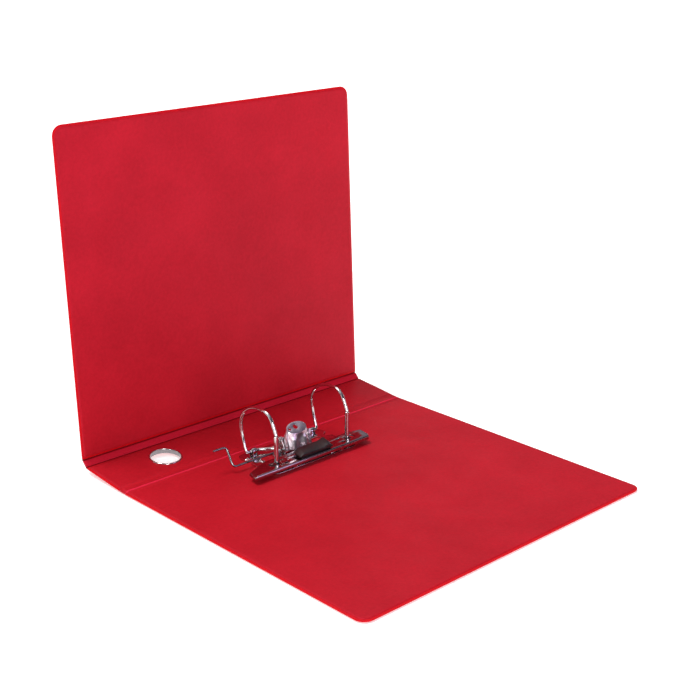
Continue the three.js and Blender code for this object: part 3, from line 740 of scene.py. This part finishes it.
def pocket():
    """The clear pocket, its dotted weld on three sides, and the two stiffer flaps at its open corners."""
    y = SPINE_WIDTH / 2
    half = 20.75
    closed = CARD_HIGH + 7
    opened = closed - 124
    top, bottom = -1.9, -2.08
    slot_half, slot_depth = 9.5, 5.5
    outline = [
        (opened, y - half),
        (closed, y - half),
        (closed, y + half),
        (opened, y + half),
        (opened, y + slot_half),
        (opened + slot_depth, y + slot_half - 0.8),
        (opened + slot_depth, y - slot_half + 0.8),
        (opened, y - slot_half),
    ]
    bm = bmesh.new()
    prism(bm, outline, bottom, top)
    clear_faces = len(bm.faces)
    for side in (-1, 1):
        flap = [(opened + 0.2, side * (half - 0.2)), (opened + 17, side * (half - 0.2))]
        flap += [(opened + 17, side * (half - 3.4)), (opened + 4.6, side * (half - 3.4))]
        flap += [(opened + 4.6, side * slot_half), (opened + 0.2, side * slot_half)]
        prism(bm, [(u, y + v) for u, v in flap], bottom - 0.03, bottom)

    def dot(x, yy):
        turned(bm, [(0, -1.53), (0.5, -1.53), (0.5, -2.05), (0.3, -2.13), (0, -2.16)], x, yy, sides=6)

    pitch = 1.7
    for i in range(int(123 / pitch) + 1):
        for side in (-1, 1):
            dot(opened + 0.8 + i * pitch, y + side * (half - 0.9))
    for i in range(1, int(2 * (half - 0.9) / pitch) + 1):
        dot(closed - 0.9, y - half + 0.9 + i * pitch)
    for i, face in enumerate(bm.faces):
        face.material_index = 0 if i < clear_faces else 1
    piece("label_sleeve", bm, [CLEAR, WELD], "spine", SPINE_FRAME, ["label_pocket"])


thumb_ring()
label()
pocket()

# ---- base plate, posts, rivets -------------------------------------------------------------------


def strap(bm, x, width, y, z, bore, thickness):
    """A stamped strap over a wire: an arch of sheet, with both feet in the base plate."""
    steps = 14
    outer, inner = bore + thickness, bore
    foot = PLATE_TOP - 0.4
    outline = [(y + outer + 0.25, foot)]
    for k in range(steps + 1):
        angle = math.radians(-8 + 196 * k / steps)
        outline.append((y + outer * math.cos(angle), z + outer * math.sin(angle)))
    outline += [(y - outer - 0.25, foot), (y - inner - 0.25, foot)]
    for k in range(steps + 1):
        angle = math.radians(188 - 196 * k / steps)
        outline.append((y + inner * math.cos(angle), z + inner * math.sin(angle)))
    outline.append((y + inner + 0.25, foot))
    prism(bm, outline, x - width / 2, x + width / 2, across="X")


def ear_outline():
    """The lug that holds the lever's pin: a foot on the plate, rounded off around the pin."""
    lobe = 3.6
    outline = [(103.5, PLATE_TOP - 0.4), (112.6, PLATE_TOP - 0.4), (112.9, 9.2)]
    for k in range(13):
        angle = math.radians(-25 + 185 * k / 12)
        outline.append((PIVOT_Y + lobe * math.cos(angle), PIVOT_Z + lobe * math.sin(angle)))
    outline += [(105.2, 11.4), (103.5, 8.5)]
    return outline


def base_plate():
    right = [(39.5, 79.5), (43.5, 80), (45.5, 82), (46, 85), (46, 111.5), (45, 112.5), (42.5, 113.2)]
    right += [(41, 114.5), (41, 117.5), (42.5, 118.8), (45, 119.5), (46, 120.5), (46, 126.5), (44.8, 129.6)]
    right += [(42, 131.3), (38, 131.5)]
    outline = [(x, y) for x, y in right] + [(-x, y) for x, y in reversed(right)]
    holes = []
    for side in (-1, 1):
        x = sorted((side * 21.5, side * 34.5))
        holes.append(rounded(x, (93.5, 117), (3, 3), steps=5))
        holes.append(circle(side * POST_X, POST_Y, 2.25, 24))
    holes += [circle(x, y, 2.55, 20) for x, y in RIVETS]
    bm = bmesh.new()
    prism(bm, outline, PLATE_BOTTOM, PLATE_TOP, holes)
    for side in (-1, 1):
        strap(bm, side * 33, 4.4, ARCH_HINGE_Y, ARCH_HINGE_Z, WIRE_RADIUS + 0.3, 1.2)
        low, high = sorted((side * EAR_LOW, side * EAR_HIGH))
        bores = [circle(PIVOT_Y, PIVOT_Z, 1.6, 24), circle(LATCH_Y, LATCH_Z, BORE, 20)]
        prism(bm, ear_outline(), low, high, bores, across="X")
    strap(bm, LATCH_BEARING, 3.4, LATCH_Y, LATCH_Z, BORE, 0.9)
    piece("mechanism_plate", bm, NICKEL, "back_cover", replaced=["base_plate"], bevel=0.18)


def posts():
    for name, x in (("post_left", -POST_X), ("post_right", POST_X)):
        bm = bmesh.new()
        profile = [(0, PLATE_BOTTOM + 0.1), (2, PLATE_BOTTOM + 0.1), (2, PLATE_TOP + 0.1)]
        profile += [(3.0, PLATE_TOP + 0.1), (3.2, PLATE_TOP + 0.3), (3.2, PLATE_TOP + 0.7)]
        profile += [(2.9, PLATE_TOP + 1.0), (2.3, PLATE_TOP + 1.15), (2.02, PLATE_TOP + 1.6)]
        profile += [(2, PLATE_TOP + 2.2), (2, POST_TOP - 0.45), (1.93, POST_TOP - 0.12)]
        profile += [(1.78, POST_TOP), (1.68, POST_TOP - 0.05), (0.6, POST_TOP - 1.3), (0, POST_TOP - 1.3)]
        turned(bm, profile, x, POST_Y, 40)
        piece(f"paper_{name}", bm, NICKEL, "back_cover", replaced=[name])


def rivets():
    for i, (x, y) in enumerate(RIVETS):
        bm = bmesh.new()
        low = PLATE_TOP + 0.1
        profile = [(0, 0.12), (3.9, 0.05), (4.3, 0.14), (4.4, 0.3), (4.3, 0.44), (2.2, 0.45), (2.2, low)]
        profile += [(3.7, low), (4.0, low + 0.25), (3.9, low + 0.6), (3.3, low + 1.05), (2.2, low + 1.4)]
        profile += [(1.1, low + 1.55), (0, low + 1.6)]
        turned(bm, profile, x, y, 32)
        piece(f"rivet_stud_{i + 1}", bm, NICKEL, "back_cover", replaced=[f"rivet_{i + 1}"])


base_plate()
posts()
rivets()

# ---- arches, lever, latch ------------------------------------------------------------------------


def arch_wire():
    x = -POST_X
    y, z = ARCH_HINGE_Y, ARCH_HINGE_Z
    tip = Vector((x, POST_Y, POST_TOP + 0.3))
    brow, shoulder, top = (x, 90, 44.6), (x, 92.6, 48.7), (x, 107, 53.3)
    back, foot = (x, 131.6, 33.3), (x, 126.8, 11.4)
    left = [tip.lerp(Vector(brow), k / 8) for k in range(9)]
    left += bezier([brow, (x, 91, 46.8), shoulder], 10)
    left += bezier([shoulder, (x, 96, 52.6), (x, 101, 53.3), top], 20)
    left += bezier([top, (x, 119.5, 53.3), (x, 131.6, 44.5), back], 26)
    left += bezier([back, (x, 131.6, 28), (x, 129.9, 19.5), foot], 20)
    crank = [foot, (x, y + 0.4, z), (-28, y, z), (-CROSSBAR_HALF - 0.5, CROSSBAR_Y, z), (0, CROSSBAR_Y, z)]
    left += bent(crank, 2.8)[1:]
    right = [Vector((-point.x, point.y, point.z)) for point in reversed(left[:-1])]
    bm = bmesh.new()
    sweep(bm, left + right, WIRE_RADIUS, sides=24)
    for side in (-1, 1):
        nib = [(0, POST_TOP - 0.9), (0.35, POST_TOP - 0.85), (0.95, POST_TOP + 0.3), (0.95, POST_TOP + 1.4)]
        turned(bm, [*nib, (0, POST_TOP + 1.4)], side * POST_X, POST_Y, 20)
    piece("arches", bm, NICKEL, "arches", replaced=["arch_wire"])


PAD = {"y": 106.3, "z": 25.8, "tilt": 40, "half_width": 10.5, "half_length": 5.6, "thickness": 1.2}
APRON_REACH = 112  # degrees that the apron follows the pad's rim to each side of its front


def pad_point(along, across, lift=0.0):
    tilt = math.radians(PAD["tilt"])
    y = PAD["y"] + across * math.cos(tilt) - lift * math.sin(tilt)
    z = PAD["z"] + across * math.sin(tilt) + lift * math.cos(tilt)
    return Vector((along, y, z))


def apron_hem(share):
    """The apron's lower edge, from the end of its left side round the front to its right side."""
    side = 1 if share > 0 else -1
    share = abs(share)
    front_share = 0.6
    if share < front_share:
        return Vector((side * 14.7 * share / front_share, 101.2 + 0.9 * (share / front_share) ** 6, 8.7))
    back = (share - front_share) / (1 - front_share)
    inwards = min(back * 5, 1)
    return Vector((side * (14.7 - 1.0 * inwards), 102.1 + 7.5 * back, 8.7 + 4.5 * back * back))


def lever():
    bm = bmesh.new()
    columns, rows = 56, 16
    grid = []
    for j in range(rows + 1):
        down = j / rows
        ring = []
        for i in range(columns + 1):
            share = 2 * i / columns - 1
            angle = math.radians(APRON_REACH * share)
            rim = pad_point(
                PAD["half_width"] * math.sin(angle),
                -PAD["half_length"] * math.cos(angle),
                -0.3,
            )
            point = rim.lerp(apron_hem(share), down)
            flare = math.sin(math.pi * down) * 0.7
            fade = min(down * 2.6, 1) ** 1.5
            wave = 1.1 * math.cos(2 * math.pi * (point.x - 0.6) / 12.2) * fade
            if abs(share) < 0.62:
                point.y += wave + flare * 0.4
            ring.append(point)
        grid.append(loop_of(bm, ring))
    for first, second in zip(grid, grid[1:]):
        bridge(bm, first, second, closed=False)
    mesh = bpy.data.meshes.new("apron")
    bmesh.ops.recalc_face_normals(bm, faces=bm.faces)
    bm.to_mesh(mesh)
    bm.free()
    apron = bpy.data.objects.new("apron", mesh)
    bpy.context.scene.collection.objects.link(apron)
    sheet = apron.modifiers.new("sheet", "SOLIDIFY")
    sheet.thickness = 1.0
    sheet.offset = -1
    bake_modifiers(apron)
    bm = bmesh.new()
    bm.from_mesh(apron.data)
    bpy.data.objects.remove(apron)

    tilt = Matrix.Translation(pad_point(0, 0)) @ Matrix.Rotation(math.radians(PAD["tilt"]), 4, "X")
    rim_steps = 56
    outline = [(PAD["half_width"] * math.cos(t), PAD["half_length"] * math.sin(t)) for t in
               (2 * math.pi * k / rim_steps for k in range(rim_steps))]
    holes = [circle(-0.6, 0.9, 2.3, 28), circle(-7.4, 0.1, 1.3, 20)]
    pad = bmesh.new()
    prism(pad, outline, -PAD["thickness"], 0, holes)
    bmesh.ops.transform(pad, matrix=tilt, verts=pad.verts)
    merge_into(bm, pad)

    cheek = [(101.9, 9), (106.6, 8.2), (109.4, 7.95), (111.6, 8.9), (112.3, 10.9), (112.6, 13.2)]
    for k in range(9):
        angle = math.radians(-30 + 150 * k / 8)
        cheek.append((PIVOT_Y + 2.9 * math.cos(angle), PIVOT_Z + 2.9 * math.sin(angle)))
    cheek += [(106.5, 20.4), (103.4, 22)]
    for low, high in ((12.2, 13.3), (-13.3, -12.2)):
        holes = [circle(PIVOT_Y, PIVOT_Z, 1.6, 24), circle(ROLLER_Y, ROLLER_Z, 1.3, 20)]
        prism(bm, cheek, low, high, holes, across="X")
    piece("lever_handle", bm, SATIN, "lever_arm", replaced=["lever"], bevel=0.22)


def merge_into(bm, other):
    """Adds one bmesh's contents to another."""
    mesh = bpy.data.meshes.new("merge")
    other.to_mesh(mesh)
    other.free()
    bm.from_mesh(mesh)
    bpy.data.meshes.remove(mesh)


def pins():
    bm = bmesh.new()
    rod(bm, 1.5, -16.6, 16.6, PIVOT_Y, PIVOT_Z)
    for low, high in ((15.7, 16.6), (-16.6, -15.7)):
        rod(bm, 2.6, low, high, PIVOT_Y, PIVOT_Z, edge=0.3)
    piece("pivot_pin", bm, NICKEL, "back_cover", replaced=["lever_pivot_pin"])
    bm = bmesh.new()
    rod(bm, 2.6, -10.4, 10.4, ROLLER_Y, ROLLER_Z)
    piece("roller", bm, NICKEL, "roller", replaced=["lever_roller"])
    bm = bmesh.new()
    rod(bm, 1.2, -13.7, 13.7, ROLLER_Y, ROLLER_Z)
    piece("roller_axle", bm, NICKEL, "lever_arm", replaced=["roller_pin"])


def latch_wire():
    y, z, x = LATCH_Y, LATCH_Z, LATCH_CRANK
    lean = math.radians(LATCH_LEAN)
    raised = (x, y + LATCH_RISER * math.sin(lean), z + LATCH_RISER * math.cos(lean))
    corners = [(LATCH_END, y, z), (x, y, z), raised, (x - LATCH_TIP, raised[1], raised[2])]
    points = bent(corners, LATCH_BEND, per_run=6)
    taper = [1.0] * len(points)
    ends = [0.55, 0.9]
    taper[: len(ends)] = ends
    taper[-len(ends) :] = ends[::-1]
    for index, nudge in ((1, 0.25), (-2, 0.25)):
        end = 0 if index > 0 else -1
        points[index] = points[end].lerp(points[index], nudge)
    bm = bmesh.new()
    sweep(bm, points, LATCH_RADIUS, sides=20, taper=taper)
    piece("cranked_wire", bm, DARK_STEEL, "latch", replaced=["latch_wire"])


arch_wire()
lever()
pins()
latch_wire()

# ---- compressor bar and its button ---------------------------------------------------------------

BAR_OUTLINE = [
    (-69.6, 76.6),
    (57.6, 76.6),
    (59.8, 80.2),
    (62, 91),
    (61.1, 92.5),
    (47.5, 95.8),
    (-45.5, 95.8),
    (-67.9, 87.2),
]


def compressor_bar():
    """A channel of sheet, rounded along its top edges and chamfered at its left end."""
    top, low, sheet = BAR_TOP, BAR_BOTTOM, BAR_SHEET
    bends = [(0, low), (0, top - 1.9), (0, top - 1.1), (0.1, top - 0.65), (0.32, top - 0.3)]
    bends += [(0.65, top - 0.08), (1.1, top), (1.5, top)]
    left_end = (0, len(BAR_OUTLINE) - 1)
    bm = bmesh.new()
    outside = []
    for by, z in bends:
        chamfer = max(z - bends[1][1], 0)
        points = enumerate(inset_polygon(BAR_OUTLINE, by))
        outside.append([(x + (chamfer if i in left_end else 0), y, z) for i, (x, y) in points])
    under = ((1.5, top - sheet), (sheet, low))
    inside = [[(*p, z) for p in inset_polygon(BAR_OUTLINE, by)] for by, z in under]
    made = skin_loops(bm, inside + outside)
    cuts = [rounded((-17.4, 16.4), (79.6, 88.7), (1, 1), steps=4)]
    for side in (-1, 1):
        x = sorted((side * 37.2, side * 47.5))
        cuts.append(rounded(x, (POST_Y - 2.8, POST_Y + 2.8), (2, 2), steps=5))
        x = sorted((side * 30, side * 34))
        cuts.append(rounded(x, (81, 83), (0.4, 0.4), steps=2))
        cuts.append(rounded(x, (88.4, 89.6), (0.4, 0.4), steps=2))
    upper = [loop_of(bm, [(*p, top) for p in cut]) for cut in cuts]
    lower = [loop_of(bm, [(*p, top - sheet) for p in cut]) for cut in cuts]
    for first, second in zip(upper, lower):
        bridge(bm, first, second)
    fill(bm, made[-1], *upper)
    fill(bm, made[0], *lower)
    for side in (-1, 1):
        x0, x1 = sorted((side * 24.5, side * 28.5))
        bracket = [(76.8, 6.1), (84.8, 6.1), (84.8, 6.5), (77.6, 6.5), (77.6, 7.8), (76.8, 7.8)]
        prism(bm, bracket, x0, x1, across="X")
    piece("presser_bar", bm, BRUSHED, "compressor", replaced=["compressor_bar"], bevel=0.14)


BUTTON_SKEW = 0.25  # shift in x of the button's ends per millimetre of y
BUTTON_STATIONS = [  # x, the top's height at the front edge and at the rear edge
    (-18.9, 13.1, 13.2),
    (-18.7, 13.3, 13.5),
    (-14.9, 15.0, 16.1),
    (-14.0, 15.2, 16.3),
    (-7, 14.5, 16.3),
    (1, 14.1, 16.3),
    (6, 14.3, 16.3),
    (8.7, 14.9, 16.6),
    (11, 15.7, 17.2),
    (13.2, 16.4, 17.8),
    (14.1, 16.3, 17.6),
    (17.7, 13.4, 13.6),
    (17.9, 13.1, 13.2),
]


def lock_button():
    """A thumb rest: its top leans and is scooped towards the front, and rises at the right end."""
    front, rear, base = BUTTON_FRONT, BUTTON_REAR, BUTTON_BASE
    loops = []
    for x, near, far in BUTTON_STATIONS:
        slope = (far - near) / (rear - front)
        shoulder = base + (near - base) * 0.75
        outline = [(front + 0.3, base), (front, base + 0.25), (front, shoulder)]
        outline += [(front + 0.25, near - 0.15), (front + 0.7, near + slope * 0.7)]
        outline += [(rear - 1.9, far - slope * 0.5), (rear - 1.2, far - 0.12)]
        outline += [(rear - 0.4, far - 0.25 * (far - base)), (rear, far - 0.45 * (far - base))]
        outline += [(rear, base + 0.25), (rear - 0.3, base)]
        middle = (front + rear) / 2
        loops.append([(x + BUTTON_SKEW * (y - middle), y, z) for y, z in outline])
    bm = bmesh.new()
    made = skin_loops(bm, loops)
    fill(bm, made[0])
    fill(bm, made[-1])
    prism(bm, rounded((-16.8, 15.8), (80.1, 88.2), (1, 1), steps=4), 9.4, 12.6)
    piece("release_button", bm, BLACK, "button", replaced=["lock_button"], bevel=0.12)


compressor_bar()
lock_button()

for node, material in (
    ("back_board", GREYBOARD),
    ("spine_board", GREYBOARD),
    ("front_board", GREYBOARD),
    ("opening_spring", SPRING_STEEL),
    ("lock_plate_left", SPRING_STEEL),
    ("lock_plate_right", SPRING_STEEL),
    ("lock_spring", SPRING_STEEL),
):
    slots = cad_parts[node].data.materials
    slots.clear()
    slots.append(material)

# ---- floor, light, camera ------------------------------------------------------------------------


def floor():
    bm = bmesh.new()
    half, level = 40, -0.0002
    corners = ((-half, -half), (half, -half), (half, half), (-half, half))
    fill(bm, loop_of(bm, [(*corner, level) for corner in corners]))
    mesh = bpy.data.meshes.new("floor")
    bm.to_mesh(mesh)
    bm.free()
    nodes = Nodes("studio_floor")
    nodes.set(Base_Color=(0.93, 0.93, 0.93, 1), Roughness=0.8, Specular_IOR_Level=0.1)
    nodes.set(Emission_Color=(1, 1, 1, 1), Emission_Strength=0.45)
    mesh.materials.append(nodes.material)
    item = bpy.data.objects.new("floor", mesh)
    bpy.context.scene.collection.objects.link(item)


def lamp(name, kind, at, target, energy, color=(1, 1, 1), **settings):
    data = bpy.data.lights.new(name, kind)
    data.energy = energy
    data.color = color
    for key, value in settings.items():
        setattr(data, key, value)
    item = bpy.data.objects.new(name, data)
    item.location = at
    item.rotation_euler = (Vector(target) - Vector(at)).to_track_quat("-Z", "Y").to_euler()
    bpy.context.scene.collection.objects.link(item)


# The dome's colour, by how far a direction lies towards DOME_TOP, from none to all of it.
DOME_TOP = (-0.25, 0.5, 0.83)
DOME = [
    (0.0, (0.07, 0.06, 0.08)),
    (0.3, (0.12, 0.10, 0.14)),
    (0.52, (0.32, 0.30, 0.34)),
    (0.7, (0.75, 0.75, 0.76)),
    (1.0, (0.9, 0.9, 0.9)),
]


def studio():
    """A dome that is bright overhead and behind and dim in front, with a top, a key and a sheen lamp."""
    world = bpy.data.worlds.new("studio")
    world.use_nodes = True
    tree = world.node_tree
    towards = tree.nodes.new("ShaderNodeVectorMath")
    towards.operation = "DOT_PRODUCT"
    towards.inputs[1].default_value = DOME_TOP
    tree.links.new(tree.nodes.new("ShaderNodeTexCoord").outputs["Generated"], towards.inputs[0])
    ramp = tree.nodes.new("ShaderNodeValToRGB")
    while len(ramp.color_ramp.elements) < len(DOME):
        ramp.color_ramp.elements.new(0.5)
    for element, (position, color) in zip(ramp.color_ramp.elements, DOME):
        element.position = position
        element.color = (*color, 1)
    tree.links.new(towards.outputs["Value"], ramp.inputs["Fac"])
    tree.links.new(ramp.outputs["Color"], tree.nodes["Background"].inputs["Color"])
    bpy.context.scene.world = world
    lamp("top", "SUN", (-0.8, 0.65, 3), (0, 0.1, 0), 1.75, angle=math.radians(20))
    lamp("key", "SUN", (-0.9, -2.3, 0.95), (0, 0.1, 0.1), 1.34, angle=math.radians(24))
    lamp("sheen", "AREA", (0.8, -1.7, 0.5), (-0.1, 0.2, 0.2), 4, (0.8, 0.6, 1), size=0.7)


def camera():
    data = bpy.data.cameras.new("camera")
    data.sensor_width = 36
    data.lens = 70.35
    data.clip_end = 50
    item = bpy.data.objects.new("camera", data)
    item.location = (-0.70873, -0.71421, 0.47167)
    target = Vector((0.22037, 0.27553, 0))
    item.rotation_euler = (target - item.location).to_track_quat("-Z", "Y").to_euler()
    bpy.context.scene.collection.objects.link(item)
    bpy.context.scene.camera = item


floor()
studio()
camera()
bpy.context.scene.view_settings.view_transform = "Standard"
